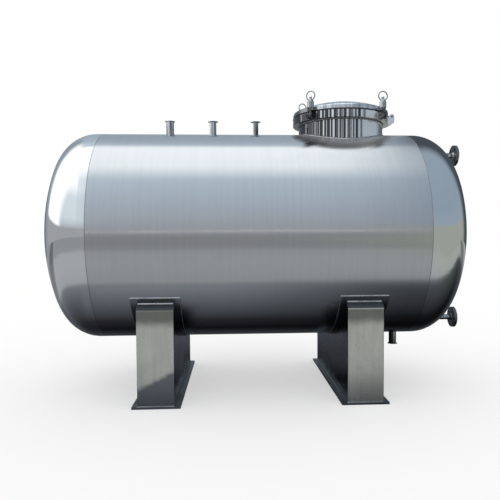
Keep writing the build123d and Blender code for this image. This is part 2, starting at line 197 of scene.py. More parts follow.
# Colours laid over others, by what they are for
SHADES = dict(
    # Painted reflection streaks on the manhole, and painted shade low on the shell
    near_black=(0.030, 0.032, 0.036),
    # Painted shade on the ring's ears and underside, the lid's forks and the bolts' rods
    painted_shade=(0.030, 0.031, 0.034),
    # Painted reflection streaks on the lid
    lid_reflection_streaks=(0.17, 0.18, 0.195),
    # Painted shade on the saddles' webs and wear plates
    web=(0.035, 0.037, 0.042),
    wear_plate=(0.045, 0.047, 0.052),
    tube_streaks=(0.060, 0.062, 0.064),
    drain=(0.02, 0.021, 0.023),
    sleeve_streaks=(0.12, 0.122, 0.128),
    # Painted shade, a painted highlight and a painted reflection of the ground's shade on the
    # saddles' front plates
    olive=(0.165, 0.172, 0.150),
    lip=(0.10, 0.115, 0.13),
    bend=(0.86, 0.86, 0.84),
    foot_shade=(0.155, 0.175, 0.205),
    dust=(0.07, 0.068, 0.065),
    weld_pits=(0.20, 0.20, 0.21),
    # Colours of the glowing sky that the steel mirrors, a painted reflection
    arch_edge=(0.62, 0.70, 0.78),
    lamp_glint=(1.20, 1.20, 1.22),
    white=(1.04, 1.05, 1.06),
    left_back=(0.24, 0.285, 0.33),
    right_back=(0.055, 0.066, 0.080),
    far=(0.030, 0.033, 0.037),
    # The ground's tints, and the tank's painted shadow behind it
    ground_olive=(0.96, 1.0, 0.89),
    open_ground=(0.31, 0.33, 0.30),
    ground_behind=(0.05, 0.055, 0.065),
)


def feed(tree, socket, value):
    """Link a socket, or set its own value."""
    if isinstance(value, bpy.types.NodeSocket):
        tree.links.new(value, socket)
    elif value is not None:
        socket.default_value = value


def put(tree, kind, inputs=None, **settings):
    """A new shader node with its settings and inputs, which are keyed by name or number."""
    node = tree.nodes.new("ShaderNode" + kind)
    for name, value in settings.items():
        setattr(node, name, value)
    for key, value in (inputs or {}).items():
        feed(tree, node.inputs[key], value)
    return node


def maths(tree, operation, first, second=None, third=None, clamp=False):
    """The result of a Math node."""
    inputs = {0: first, 1: second, 2: third}
    return put(tree, "Math", inputs, operation=operation, use_clamp=clamp).outputs[0]


def times(tree, first, *others):
    """The product of two or more values."""
    for other in others:
        first = maths(tree, "MULTIPLY", first, other)
    return first


def less(tree, first, second):
    """The first value less the second."""
    return maths(tree, "SUBTRACT", first, second)


def size_of(tree, value):
    """A value without its sign."""
    return maths(tree, "ABSOLUTE", value)


def larger(tree, first, second):
    """The larger of two values."""
    return maths(tree, "MAXIMUM", first, second)


def scaled_sum(tree, value, factor, start):
    """A value times a factor, plus a start."""
    return maths(tree, "MULTIPLY_ADD", value, factor, start)


def stray(tree, value, cloud, amount):
    """A value that strays by an amount, with a cloud that lies round a half."""
    return scaled_sum(tree, less(tree, cloud, 0.5), amount, value)


def vector_maths(tree, operation, first, second=None):
    """The result of a Vector Math node."""
    node = put(tree, "VectorMath", {0: first, 1: second}, operation=operation)
    return node.outputs["Value" if operation == "LENGTH" else "Vector"]


def split(tree, vector):
    """A vector's parts, under X, Y and Z."""
    return put(tree, "SeparateXYZ", {0: vector}).outputs


def join(tree, x, y=0.0, z=0.0):
    """A vector from its parts."""
    return put(tree, "CombineXYZ", {0: x, 1: y, 2: z}).outputs[0]


def flat_length(tree, first, second):
    """The length of a vector with two parts."""
    return vector_maths(tree, "LENGTH", join(tree, first, second))


def smooth_step(tree, value, low, high, out_low=0.0, out_high=1.0):
    """A value carried smoothly from one range to another."""
    inputs = {"Value": value, "From Min": low, "From Max": high, "To Min": out_low,
              "To Max": out_high}
    node = put(tree, "MapRange", inputs, interpolation_type="SMOOTHSTEP")
    return node.outputs["Result"]


def fade(tree, value, name):
    """One of the fades, following a value."""
    return smooth_step(tree, value, *FADES[name])


def fades(tree, *pairs):
    """The product of some fades, each following its own value."""
    return times(tree, *(fade(tree, value, name) for value, name in pairs))


def noise(tree, vector, scale, detail, roughness=0.5, distortion=0.0):
    """Clouds round a half, between 0 and 1."""
    inputs = {"Vector": vector, "Scale": scale, "Detail": detail, "Roughness": roughness,
              "Distortion": distortion}
    return put(tree, "TexNoise", inputs).outputs["Fac"]


def bearing_noise(tree, bearing, count):
    """Streaks by the bearing about the manhole's axis, so many to a radian."""
    inputs = {"W": times(tree, bearing, count), "Scale": 1.0, "Detail": 3.0, "Roughness": 0.7}
    return put(tree, "TexNoise", inputs, noise_dimensions="1D").outputs["Fac"]


def bump(tree, height, distance, strength=1.0, normal=None):
    """A normal tilted by a height."""
    inputs = {"Strength": strength, "Distance": distance, "Height": height, "Normal": normal}
    return put(tree, "Bump", inputs).outputs[0]


def blend_colours(tree, factor, first, second, kind="MIX"):
    """Two colours mixed by a factor."""
    node = put(tree, "Mix", data_type="RGBA", blend_type=kind)
    feed(tree, node.inputs["Factor"], factor)
    feed(tree, node.inputs[6], first)
    feed(tree, node.inputs[7], second)
    return node.outputs[2]


def shaded(tree, factor, base, name, kind="MIX"):
    """A colour with one of the shades laid over it."""
    return blend_colours(tree, factor, base, (*SHADES[name], 1), kind)


def colour_ramp(tree, factor, stops):
    """A ramp through stops of place, red, green and blue."""
    node = put(tree, "ValToRGB", {"Fac": factor})
    ramp = node.color_ramp
    ramp.elements.remove(ramp.elements[-1])
    ramp.elements[0].position = stops[0][0]
    for place, *_ in stops[1:]:
        ramp.elements.new(place)
    for element, (_, *colour) in zip(ramp.elements, stops):
        element.color = (*colour, 1)
    return node.outputs["Color"]


def object_coordinates(tree):
    """A place on the piece, in metres in the shared frame."""
    return put(tree, "TexCoord").outputs["Object"]


def from_centre(tree, centre):
    """A place on the piece, from a centre."""
    return vector_maths(tree, "SUBTRACT", object_coordinates(tree), centre)


def new_material(name):
    """An empty node material, its tree and its surface."""
    material = bpy.data.materials.new(name)
    material.use_nodes = True
    material.node_tree.nodes.clear()
    output = put(material.node_tree, "OutputMaterial")
    return material, material.node_tree, output.inputs["Surface"]


def principled(tree, surface, inputs):
    """A Principled shader, joined to the material's surface."""
    shader = put(tree, "BsdfPrincipled", inputs)
    feed(tree, surface, shader.outputs[0])
    return shader


def new_group(name, inputs, outputs):
    """A shader node group with named sockets: its tree, input node and output node."""
    tree = bpy.data.node_groups.new(name, "ShaderNodeTree")
    for socket, kind, value in inputs:
        made = tree.interface.new_socket(socket, in_out="INPUT", socket_type="NodeSocket" + kind)
        if value is not None:
            made.default_value = value
    for socket, kind in outputs:
        tree.interface.new_socket(socket, in_out="OUTPUT", socket_type="NodeSocket" + kind)
    return tree, tree.nodes.new("NodeGroupInput").outputs, tree.nodes.new("NodeGroupOutput").inputs


def make_grain_group():
    """Brushing: fine lines and broader streaks across the vector's X, long in its Y and Z."""
    tree, given, result = new_group(
        "brushed_grain",
        [("Vector", "Vector", None), ("Across", "Float", 900.0), ("Along", "Float", 6.0)],
        [("Height", "Float"), ("Streaks", "Float")],
    )
    layers = {"Height": (1.0, 1.0, 3.0), "Streaks": (0.07, 0.35, 2.0)}
    for layer, (crossways, lengthways, detail) in layers.items():
        level = times(tree, given["Along"], lengthways)
        stretch = join(tree, times(tree, given["Across"], crossways), level, level)
        place = vector_maths(tree, "MULTIPLY", given["Vector"], stretch)
        feed(tree, result[layer], noise(tree, place, 1.0, detail, 0.6))
    return tree


def make_smudge_group():
    """Handling marks: soft clouds broken by smaller ones, as a mask between two levels."""
    tree, given, result = new_group(
        "smudges",
        [("Vector", "Vector", None), ("Scale", "Float", 4.0), ("Low", "Float", 0.5),
         ("High", "Float", 0.75)],
        [("Mask", "Float")],
    )
    large = noise(tree, given["Vector"], given["Scale"], 6.0, 0.62, 0.7)
    small = noise(tree, given["Vector"], times(tree, given["Scale"], 7.0), 4.0, 0.7)
    cloud = scaled_sum(tree, small, 0.25, times(tree, large, 0.875))
    feed(tree, result["Mask"], smooth_step(tree, cloud, given["Low"], given["High"]))
    return tree


def make_tint_group():
    """Heat tint beside a weld: straw, then brown and blue, fading with the distance from it."""
    tree, given, result = new_group(
        "heat_tint",
        [("Color", "Color", (0.7, 0.7, 0.7, 1)), ("Distance", "Float", 0.0),
         ("Width", "Float", 0.012), ("Amount", "Float", 0.4)],
        [("Color", "Color")],
    )
    share = maths(tree, "DIVIDE", given["Distance"], given["Width"], clamp=True)
    tint = colour_ramp(tree, share, [
        (0.0, 0.62, 0.60, 0.57),
        (0.25, 0.42, 0.44, 0.52),
        (0.5, 0.55, 0.45, 0.36),
        (0.8, 0.72, 0.66, 0.52),
        (1.0, 0.74, 0.73, 0.70),
    ])
    amount = times(tree, fade(tree, share, "heat_tint"), given["Amount"])
    feed(tree, result["Color"], blend_colours(tree, amount, given["Color"], tint))
    return tree


brushed_grain = make_grain_group()
smudges = make_smudge_group()
heat_tint = make_tint_group()


def group(tree, made, inputs):
    """A node that holds a group, with its inputs."""
    node = put(tree, "Group", node_tree=made)
    for name, value in inputs.items():
        feed(tree, node.inputs[name], value)
    return node.outputs


def smudge_mask(tree, scale):
    """Handling marks at a scale."""
    return group(tree, smudges, {"Vector": object_coordinates(tree), "Scale": scale})["Mask"]


def grain_vector(tree, lines):
    """Object coordinates turned so that X runs across the brushing.

    hoops: lines round the tank's axis, across is x
    rings: circles about the tank's axis on an end, across is the distance from that axis
    turned: circles about the manhole's axis, across is the distance from it
    level: lines that lie level, across is z
    """
    place = from_centre(tree, MANHOLE_CENTRE if lines in ("turned", "level") else TANK_CENTRE)
    if lines == "hoops":
        return place
    parts = split(tree, place)
    if lines == "level":
        return join(tree, parts["Z"], parts["X"], parts["Y"])
    flat = (parts["Y"], parts["Z"]) if lines == "rings" else (parts["X"], parts["Y"])
    return join(tree, flat_length(tree, *flat), *flat)


def make_steel(name, colour, roughness, lines, spread=0.08, across=900.0, along=5.0, grain=0.12,
               wave=0.0, wave_scale=3.0, smudge=0.3, smudge_scale=4.0, streak=0.12, sheen=0.0,
               paint=None, metallic=1.0, dull=None, facing=None):
    """Stainless steel: brushed lines, streaks, smudges and a slow unevenness of the plate.

    Sheen draws reflections out along the tank's axis, paint changes the base colour, dull says
    where the polish is gone, and facing gives a normal to start from.
    """
    material, tree, surface = new_material(name)
    brushing = {"Vector": grain_vector(tree, lines), "Across": across, "Along": along}
    brushed = group(tree, brushed_grain, brushing)
    marks = smudge_mask(tree, smudge_scale)
    dark = (*(DARKER * part for part in colour), 1)
    shade = smooth_step(tree, brushed["Streaks"], 0.35, 0.7, 0.0, streak)
    base = blend_colours(tree, shade, (*colour, 1), dark)
    base = blend_colours(tree, times(tree, marks, smudge * SMUDGE_SHADE), base, dark)
    if paint:
        base = paint(tree, base)
    rough = stray(tree, roughness, brushed["Height"], spread)
    rough = scaled_sum(tree, marks, smudge * SMUDGE_ROUGHNESS, rough)
    if dull:
        dulling = dull(tree)
        rough = scaled_sum(tree, dulling, DULL_ROUGHNESS, rough)
        metallic = scaled_sum(tree, dulling, DULL_METALLIC, metallic)
    start = facing(tree) if facing else None
    normal = bump(tree, brushed["Height"], GRAIN_DEPTH, grain, start)
    if wave:
        slow = noise(tree, object_coordinates(tree), wave_scale, 1.0)
        normal = bump(tree, slow, wave, normal=normal)
    shader = principled(tree, surface, {
        "Base Color": base, "Metallic": metallic, "Roughness": rough, "Normal": normal,
        "Anisotropic": sheen, "Anisotropic Rotation": SHEEN_TURN if sheen else 0.0,
    })
    if sheen:
        tangent = put(tree, "Tangent", direction_type="RADIAL", axis="X")
        feed(tree, shader.inputs["Tangent"], tangent.outputs[0])
    return material


def manhole_reach(tree):
    """Distance from the manhole's axis, bearing about it, and height."""
    parts = split(tree, from_centre(tree, MANHOLE_CENTRE))
    bearing = maths(tree, "ARCTAN2", parts["Y"], parts["X"])
    return flat_length(tree, parts["X"], parts["Y"]), bearing, parts["Z"]


def nearness(tree, bearing, centre):
    """1 at a centre's bearing, less away from it: the cosine of the angle between them."""
    return maths(tree, "COSINE", less(tree, bearing, centre))


def manhole_reflection_streaks(tree, bearing):
    """Painted reflection streaks, upright, by the bearing about its axis; painted shade at its
    left end.
    """
    leftward = nearness(tree, bearing, LEFT_END)
    level = scaled_sum(tree, leftward, LEFTWARD_GAIN, bearing_noise(tree, bearing, REFLECTION_STREAK_COUNT))
    dark = larger(tree, fade(tree, level, "reflection_streaks"), fade(tree, leftward, "ring_left_end"))
    calm = nearness(tree, bearing, CALM_STRETCH)
    return times(tree, dark, fade(tree, calm, "calm_stretch"))


def arms(tree, reach, bearing, start, strength):
    """A mask over what stands out past a radius, apart from the hinge."""
    beyond = smooth_step(tree, reach, start, start + ARM_FADE, 0.0, strength)
    return times(tree, beyond, fade(tree, size_of(tree, bearing), "beside_hinge"))


def manhole_paint(tree, base):
    """Painted reflection streaks, and painted shade on the ring's ears and its underside."""
    reach, bearing, height = manhole_reach(tree)
    base = shaded(tree, manhole_reflection_streaks(tree, bearing), base, "near_black")
    ears = arms(tree, reach, bearing, RING_RADIUS + 0.0002, 0.85)
    under = size_of(tree, less(tree, height, RING_BOTTOM))
    under = fades(tree, (under, "under_ring"), (reach, "past_neck"))
    return shaded(tree, larger(tree, ears, under), base, "painted_shade")


def lid_paint(tree, base):
    """Painted reflection streaks near the lid's rim, and painted shade at its left end and on its
    forks.
    """
    reach, bearing, _ = manhole_reach(tree)
    streaks = bearing_noise(tree, bearing, LID_STREAK_COUNT)
    streaks = fades(tree, (streaks, "lid_reflection_streaks"), (reach, "lid_outer_part"))
    leftward = nearness(tree, bearing, LEFT_END)
    end = fades(tree, (leftward, "lid_left_end"), (reach, "lid_rim"))
    base = shaded(tree, larger(tree, streaks, end), base, "lid_reflection_streaks")
    return shaded(tree, arms(tree, reach, bearing, LID_RADIUS + 0.0003, 0.80), base, "painted_shade")


def web_paint(tree, base):
    """Painted shade: near black under the tank and towards the floor."""
    place = object_coordinates(tree)
    height = stray(tree, split(tree, place)["Z"], noise(tree, place, 14.0, 4.0, 0.6), 0.06)
    shade = larger(tree, fade(tree, height, "web_under_tank"), fade(tree, height, "web_to_floor"))
    return shaded(tree, shade, base, "web")


def wear_plate_paint(tree, base):
    """Dark below the lips, where the saddle shades it."""
    height = split(tree, object_coordinates(tree))["Z"]
    return shaded(tree, fade(tree, height, "wear_plate_foot"), base, "wear_plate")


def tube_streaks(tree, strength):
    """Upright dark streaks on small tubes and sleeves, a few millimetres apart."""
    stretch = vector_maths(tree, "MULTIPLY", object_coordinates(tree), (150.0, 150.0, 3.0))
    return smooth_step(tree, noise(tree, stretch, 1.0, 2.0, 0.6), 0.42, 0.62, 0.0, strength)


def nozzle_paint(tree, base):
    """Streaks on the tubes, with the drain's left side in the saddle's shade."""
    base = shaded(tree, tube_streaks(tree, 0.90), base, "tube_streaks")
    parts = split(tree, object_coordinates(tree))
    low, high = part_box("drain_ferrule")
    left = fade(tree, less(tree, parts["X"], (low.x + high.x) / 2), "drain_left")
    shade = times(tree, left, smooth_step(tree, parts["Z"], high.z + 0.03, high.z))
    return shaded(tree, shade, base, "drain")


def hardware_paint(tree, base):
    """Faint streaks on the nuts' sleeves, and painted shade on the rods and eyes below them."""
    base = shaded(tree, tube_streaks(tree, 0.45), base, "sleeve_streaks")
    height = split(tree, object_coordinates(tree))["Z"]
    return shaded(tree, fade(tree, height, "below_nuts"), base, "painted_shade")


def neck_dulling(tree):
    """Coarser brushing on the shell round the manhole's weld."""
    reach, _, height = manhole_reach(tree)
    return fades(tree, (reach, "near_neck"), (height, "upper_shell"))


def head_facing(tree):
    """The heads' normal: from the crown's centre near the pole, and leaning outwards by a seam."""
    place = from_centre(tree, TANK_CENTRE)
    parts = split(tree, place)
    side = maths(tree, "SIGN", parts["X"])
    centre = join(tree, times(tree, side, CROWN_CENTRE))
    outward = vector_maths(tree, "NORMALIZE", vector_maths(tree, "SUBTRACT", place, centre))
    polar = fade(tree, flat_length(tree, parts["Y"], parts["Z"]), "near_pole")
    mixed = put(tree, "Mix", data_type="VECTOR")
    feed(tree, mixed.inputs["Factor"], polar)
    feed(tree, mixed.inputs[4], put(tree, "NewGeometry").outputs["Normal"])
    feed(tree, mixed.inputs[5], outward)
    beside = less(tree, size_of(tree, parts["X"]), HALF_LENGTH)
    lean = join(tree, times(tree, side, fade(tree, beside, "seam_lean")))
    return vector_maths(tree, "NORMALIZE", vector_maths(tree, "ADD", mixed.outputs[1], lean))


def seam_distance(tree):
    """How far a point is from the nearer of the two seams, along X."""
    x = split(tree, object_coordinates(tree))["X"]
    left, right = (size_of(tree, less(tree, x, seam)) for seam in SEAM_X.values())
    return maths(tree, "MINIMUM", left, right)


def seam_paint(tree, base):
    """Faint heat tint along both seams."""
    tint = {"Color": base, "Distance": seam_distance(tree), "Width": 0.006, "Amount": 0.14}
    return group(tree, heat_tint, tint)["Color"]


def shell_paint(tree, base):
    """Heat tint along the seams, and shade low on the shell beside the saddles' inner edges."""
    parts = split(tree, from_centre(tree, TANK_CENTRE))
    edge = TANK_CENTRE[0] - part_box("left_saddle_wear_plate")[1].x
    inner = less(tree, edge, size_of(tree, parts["X"]))
    shade = fades(tree, (inner, "inside_saddle"), (inner, "over_saddle"),
                  (parts["Z"], "shell_underside"))
    return shaded(tree, shade, seam_paint(tree, base), "near_black")


def saddle_front_paint(tree, base):
    """Painted olive shade under the lips and darker shade at them, painted highlights along the
    bends, and a painted reflection of the ground's shade on the left saddle's foot.
    """
    place = object_coordinates(tree)
    parts = split(tree, place)
    height = stray(tree, parts["Z"], noise(tree, place, 16.0, 4.0, 0.6), 0.045)
    base = shaded(tree, fade(tree, height, "front_under_lip"), base, "olive")
    base = shaded(tree, fade(tree, parts["Z"], "lip"), base, "lip")
    bend = size_of(tree, less(tree, parts["Z"], BEND_HEIGHT))
    bend = fades(tree, (bend, "bend_line"), (parts["X"], "bend_rightward"))
    base = shaded(tree, bend, base, "bend")
    # The painted reflection of the ground's shade on the left saddle's foot, below a line that
    # rises to the right
    edge = scaled_sum(tree, less(tree, parts["X"], FOOT_SHADE_X), FOOT_SHADE_SLOPE, FOOT_SHADE_HEIGHT)
    foot_shade = fades(tree, (less(tree, edge, height), "foot_shade"), (parts["X"], "foot_shade_left"),
                  (parts["Y"], "foot_shade_front"))
    return shaded(tree, foot_shade, base, "foot_shade")


def make_rubber():
    """Matt black rubber with a fine pebbled surface."""
    material, tree, surface = new_material("gasket_rubber")
    dust = times(tree, smudge_mask(tree, 25.0), 0.35)
    base = shaded(tree, dust, (0.022, 0.022, 0.023, 1), "dust")
    normal = bump(tree, noise(tree, object_coordinates(tree), 900.0, 3.0), 0.0002, 0.4)
    principled(tree, surface, {"Base Color": base, "Roughness": 0.62, "Normal": normal})
    return material


def make_weld(name, stops, roughness):
    """Weld metal: fine ripples, a drifting tint and dull pits."""
    material, tree, surface = new_material(name)
    place = object_coordinates(tree)
    marks = smudge_mask(tree, 30.0)
    base = colour_ramp(tree, noise(tree, place, 18.0, 3.0), stops)
    base = shaded(tree, times(tree, marks, 0.5), base, "weld_pits")
    normal = bump(tree, noise(tree, place, 420.0, 4.0), 0.0004, 0.35)
    rough = scaled_sum(tree, marks, 0.2, roughness)
    inputs = {"Base Color": base, "Metallic": 1.0, "Roughness": rough, "Normal": normal}
    principled(tree, surface, inputs)
    return material


BRIGHT_WELD = [
    (0.30, 0.50, 0.51, 0.54),
    (0.45, 0.66, 0.66, 0.66),
    (0.60, 0.66, 0.63, 0.57),
    (0.75, 0.52, 0.48, 0.43),
]
SEAM_WELD = [
    (0.30, 0.36, 0.365, 0.38),
    (0.70, 0.46, 0.46, 0.455),
]
DULL_WELD = [
    (0.30, 0.20, 0.205, 0.22),
    (0.50, 0.27, 0.275, 0.28),
    (0.70, 0.24, 0.225, 0.205),
]
POLISHED = (0.82, 0.825, 0.83)
SADDLE_LINES = {"across": 500.0, "along": 7.0}
FINISHES = {
    "brushed_shell": make_steel(
        "shell_steel", (0.62, 0.625, 0.63), 0.18, "hoops", spread=0.05, sheen=0.85,
        wave=0.0004, wave_scale=5.0, smudge=0.12, streak=0.09, paint=shell_paint,
        dull=neck_dulling),
    "head": make_steel(
        "head_steel", POLISHED, 0.04, "rings", spread=0.02, grain=0.03, wave=0.0005,
        smudge=0.12, streak=0.05, paint=seam_paint, facing=head_facing),
    "manhole": make_steel(
        "manhole_steel", POLISHED, 0.07, "level", spread=0.05, grain=0.04, wave=0.0003,
        smudge=0.2, paint=manhole_paint, metallic=0.80),
    "lid": make_steel(
        "lid_steel", POLISHED, 0.11, "turned", spread=0.06, grain=0.05, wave=0.0004,
        smudge=0.3, paint=lid_paint),
    "gasket_rubber": make_rubber(),
    "nozzle_steel": make_steel(
        "nozzle_tube_steel", (0.76, 0.765, 0.77), 0.11, "level", smudge=0.4,
        smudge_scale=14.0, paint=nozzle_paint),
    "flange_steel": make_steel(
        "gauge_flange_steel", (0.20, 0.204, 0.21), 0.34, "rings", across=1500.0, grain=0.3,
        smudge=0.6, smudge_scale=16.0),
    "hardware_steel": make_steel(
        "bolt_steel", (0.55, 0.555, 0.56), 0.18, "level", grain=0.2, smudge=0.5,
        smudge_scale=30.0, paint=hardware_paint),
    "saddle_front": make_steel(
        "saddle_front_steel", (0.79, 0.785, 0.70), 0.27, "hoops", grain=0.25, streak=0.35,
        smudge=0.5, smudge_scale=7.0, wave=0.0006, paint=saddle_front_paint, **SADDLE_LINES),
    # The webs, base plates and wear plates: the saddles' steel in darker base colours, painted
    # shade
    "saddle_web": make_steel(
        "saddle_web_steel", (0.42, 0.44, 0.475), 0.15, "hoops", grain=0.2, smudge=1.0,
        smudge_scale=9.0, wave=0.0008, paint=web_paint, **SADDLE_LINES),
    "saddle_base": make_steel(
        "saddle_base_steel", (0.25, 0.26, 0.275), 0.30, "level", grain=0.3, smudge=0.7,
        smudge_scale=9.0, **SADDLE_LINES),
    "wear_plate": make_steel(
        "wear_plate_steel", (0.36, 0.37, 0.385), 0.16, "hoops", grain=0.2, smudge=0.4,
        smudge_scale=9.0, paint=wear_plate_paint, **SADDLE_LINES),
    "bright_weld": make_weld("bright_weld_metal", BRIGHT_WELD, 0.26),
    "dull_weld": make_weld("dull_weld_metal", DULL_WELD, 0.30),
    "seam_weld": make_weld("seam_weld_metal", SEAM_WELD, 0.22),
}

NODE_FINISH = {
    "head_left": "head", "head_right": "head", "manhole_lid": "lid", "manhole_neck": "manhole",
    "manhole_ring": "manhole", "lid_hinge_pin": "hardware_steel",
}
SADDLE_FINISH = {
    "front_plate": "saddle_front", "back_plate": "saddle_front", "left_web": "saddle_web",
    "right_web": "saddle_web", "base_plate": "saddle_base", "wear_plate": "wear_plate",
}
for saddle in ("left", "right"):
    for part, finish in SADDLE_FINISH.items():
        NODE_FINISH[f"{saddle}_saddle_{part}"] = finish


def dress_nodes():
    """Give every CAD node the finish of its material slot, or its own."""
    slots = {row["node"]: row["material_slot"] for row in frame["record"]["subparts"]}
    for name, node in frame["nodes"].items():
        for slot in node.material_slots:
            slot.material = FINISHES[NODE_FINISH.get(name, slots[name])]


def make_surface(name, points, finish, body=None, closed=False, caps=False):
    """A mesh through rings of points: quads between neighbours, and flat fans as caps if asked.

    Closed joins the last ring to the first. A piece without a body belongs to the stage.
    """
    rows, columns = points.shape[:2]
    index = np.arange(rows * columns).reshape(rows, columns)
    if closed:
        index = np.vstack([index, index[:1]])
    index = np.hstack([index, index[:, :1]])
    quads = np.stack([index[:-1, :-1], index[1:, :-1], index[1:, 1:], index[:-1, 1:]], -1)
    corners = quads.reshape(-1)
    sizes = np.full(len(corners) // 4, 4)
    if caps:
        corners = np.concatenate([corners, index[0, :columns], index[-1, :columns][::-1]])
        sizes = np.concatenate([sizes, [columns, columns]])
    starts = np.concatenate([[0], np.cumsum(sizes)[:-1]])
    mesh = bpy.data.meshes.new(name)
    mesh.vertices.add(rows * columns)
    mesh.vertices.foreach_set("co", np.ascontiguousarray(points, np.float32).ravel())
    mesh.loops.add(len(corners))
    mesh.loops.foreach_set("vertex_index", corners.astype(np.int32))
    mesh.polygons.add(len(sizes))
    mesh.polygons.foreach_set("loop_start", starts.astype(np.int32))
    mesh.polygons.foreach_set("use_smooth", np.ones(len(sizes), bool))
    mesh.update(calc_edges=True)
    mesh.validate()
    mesh.materials.append(finish)
    piece = bpy.data.objects.new(name, mesh)
    bpy.context.scene.collection.objects.link(piece)
    if body:
        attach(piece, body)
    return piece


def xyz(x, y, z):
    """Points or directions from their three parts, arrays or single numbers."""
    return np.stack(np.broadcast_arrays(x, y, z), -1)


def along_skin(directions, skin):
    """Directions laid flat on a skin and made of length one, given the skin's normals."""
    flat = directions - (directions * skin).sum(-1, keepdims=True) * skin
    return flat / np.linalg.norm(flat, axis=-1, keepdims=True)


def turns(count):
    """Evenly spaced turns of a full circle."""
    return np.linspace(0, 2 * np.pi, count, endpoint=False)


def ripples(path, closed):
    """Weld ripples along a path: a height between 0 and 1 that climbs and drops once a pitch."""
    after = path[:1] if closed else path[-1:]
    steps = np.linalg.norm(np.diff(path, axis=0, append=after), axis=1)
    travelled = np.concatenate([[0], np.cumsum(steps)[:-1]])
    length = steps.sum()
    count = max(1, round(length / RIPPLE_PITCH))
    return 0.5 - 0.5 * np.cos(2 * np.pi * count * travelled / length)


def make_bead(name, path, outward, upward, width, height, closed=True,
              butt=False, finish="bright_weld"):
    """A weld bead: a bulged profile carried along a path.

    A fillet's profile fills the corner between the outward and the upward direction; a butt
    weld's is a low cap, as wide on both sides of the path. Its size rises and falls a little
    with each ripple.
    """
    turn = np.linspace(0, np.pi if butt else np.pi / 2, 7)
    swell = 1 + RIPPLE_SWELL * (ripples(path, closed)[:, None] - 0.5)
    if butt:
        across = np.concatenate([[width], width * np.cos(turn), [-width]]) * swell
        above = np.concatenate([[-WELD_SINK], height * np.sin(turn), [-WELD_SINK]])
        above = np.where(above > 0, above * (swell * 1.6 - 0.6), above)
    else:
        bulge = 1 - 0.16 * np.sin(2 * turn)
        across = np.concatenate([[-WELD_SINK, width], width * np.cos(turn) * bulge, [-WELD_SINK]])
        above = np.concatenate([[-WELD_SINK] * 2, height * np.sin(turn) * bulge, [height]])
        across = np.where(across > 0, across * swell, across)
        above = np.where(above > 0, above * swell, above)
    outward, upward = (np.broadcast_to(way, path.shape)[:, None] for way in (outward, upward))
    points = path[:, None] + across[..., None] * outward + above[..., None] * upward
    make_surface(name, points, FINISHES[finish], "tank", closed, not closed)


def seam_bead(side):
    """The butt weld between the shell and a head: a circle about the tank's axis."""
    t = turns(2400)
    upward = xyz(0, np.cos(t), np.sin(t))
    path = xyz(SEAM_X[side], TANK_RADIUS * np.cos(t), AXIS_Z + TANK_RADIUS * np.sin(t))
    make_bead(f"seam_weld_{side}", path, LENGTHWISE, upward, 0.0014, 0.0003, butt=True,
              finish="seam_weld")


def branch_bead(name, x, radius, size, below=False):
    """The fillet weld where an upright tube meets the shell: its circle laid on the cylinder."""
    t = turns(int(max(160, 2 * np.pi * radius / WELD_STEP)))
    y = radius * np.sin(t)
    sign = -1 if below else 1
    rise = sign * np.sqrt(TANK_RADIUS ** 2 - y ** 2)
    path = xyz(x + radius * np.cos(t), y, AXIS_Z + rise)
    skin = xyz(0, y / TANK_RADIUS, rise / TANK_RADIUS)
    outward = along_skin(xyz(np.cos(t), np.sin(t), 0), skin)
    make_bead(name, path, outward, xyz(0, 0, sign), size, size,
              finish="bright_weld" if size > MIDDLE_WELD else "dull_weld")


def flange_bead(name, x, height):
    """The fillet weld where a gauge pipe meets its flange: a circle about the pipe's axis."""
    t = turns(int(2 * np.pi * GAUGE_PIPE_RADIUS / WELD_STEP))
    outward = xyz(0, np.cos(t), np.sin(t))
    path = xyz(x, 0, height) + GAUGE_PIPE_RADIUS * outward
    make_bead(name, path, outward, -LENGTHWISE, MIDDLE_WELD, MIDDLE_WELD)


def pipe_bead(name, height):
    """The fillet weld where a gauge pipe meets the right head: its circle laid on the dish.

    The dish's crown is a sphere, and its knuckle is a ring of circles round the straight
    flange's end.
    """
    t = turns(int(2 * np.pi * GAUGE_PIPE_RADIUS / WELD_STEP))
    y, z = GAUGE_PIPE_RADIUS * np.sin(t), height + GAUGE_PIPE_RADIUS * np.cos(t)
    rho = np.hypot(y, z)
    crown = rho < CROWN_EDGE
    centre = np.where(crown, TANK_CENTRE[0] + CROWN_CENTRE, SEAM_X["right"] + STRAIGHT_FLANGE)
    middle = np.where(crown, 0.0, TANK_RADIUS - KNUCKLE_RADIUS)
    bend = np.where(crown, CROWN_RADIUS, KNUCKLE_RADIUS)
    rise = (rho - middle) / bend
    lean = np.sqrt(1 - rise ** 2)
    path = xyz(centre + bend * lean, y, AXIS_Z + z)
    skin = xyz(lean, rise * y / rho, rise * z / rho)
    outward = along_skin(xyz(0, np.sin(t), np.cos(t)), skin)
    make_bead(name, path, outward, LENGTHWISE, MIDDLE_WELD, MIDDLE_WELD)


def rounded_rectangle(half_u, half_v, radius):
    """Even steps round a rectangle: places u and v, and the angle that points outwards.

    Each is a corner of a rectangle smaller by the radius, plus the radius at that angle.
    """
    quarter = np.linspace(0, np.pi / 2, 16)
    angle = np.append((quarter + np.pi / 2 * np.arange(4)[:, None]).ravel(), 2 * np.pi)
    side_u = np.append(np.repeat([1, -1, -1, 1], 16), 1)
    side_v = np.append(np.repeat([1, 1, -1, -1], 16), 1)
    u = side_u * (half_u - radius) + radius * np.cos(angle)
    v = side_v * (half_v - radius) + radius * np.sin(angle)
    travelled = np.append(0, np.cumsum(np.hypot(np.diff(u), np.diff(v))))
    even = np.linspace(0, travelled[-1], int(travelled[-1] / EDGE_STEP), endpoint=False)
    return (np.interp(even, travelled, values) for values in (u, v, angle))


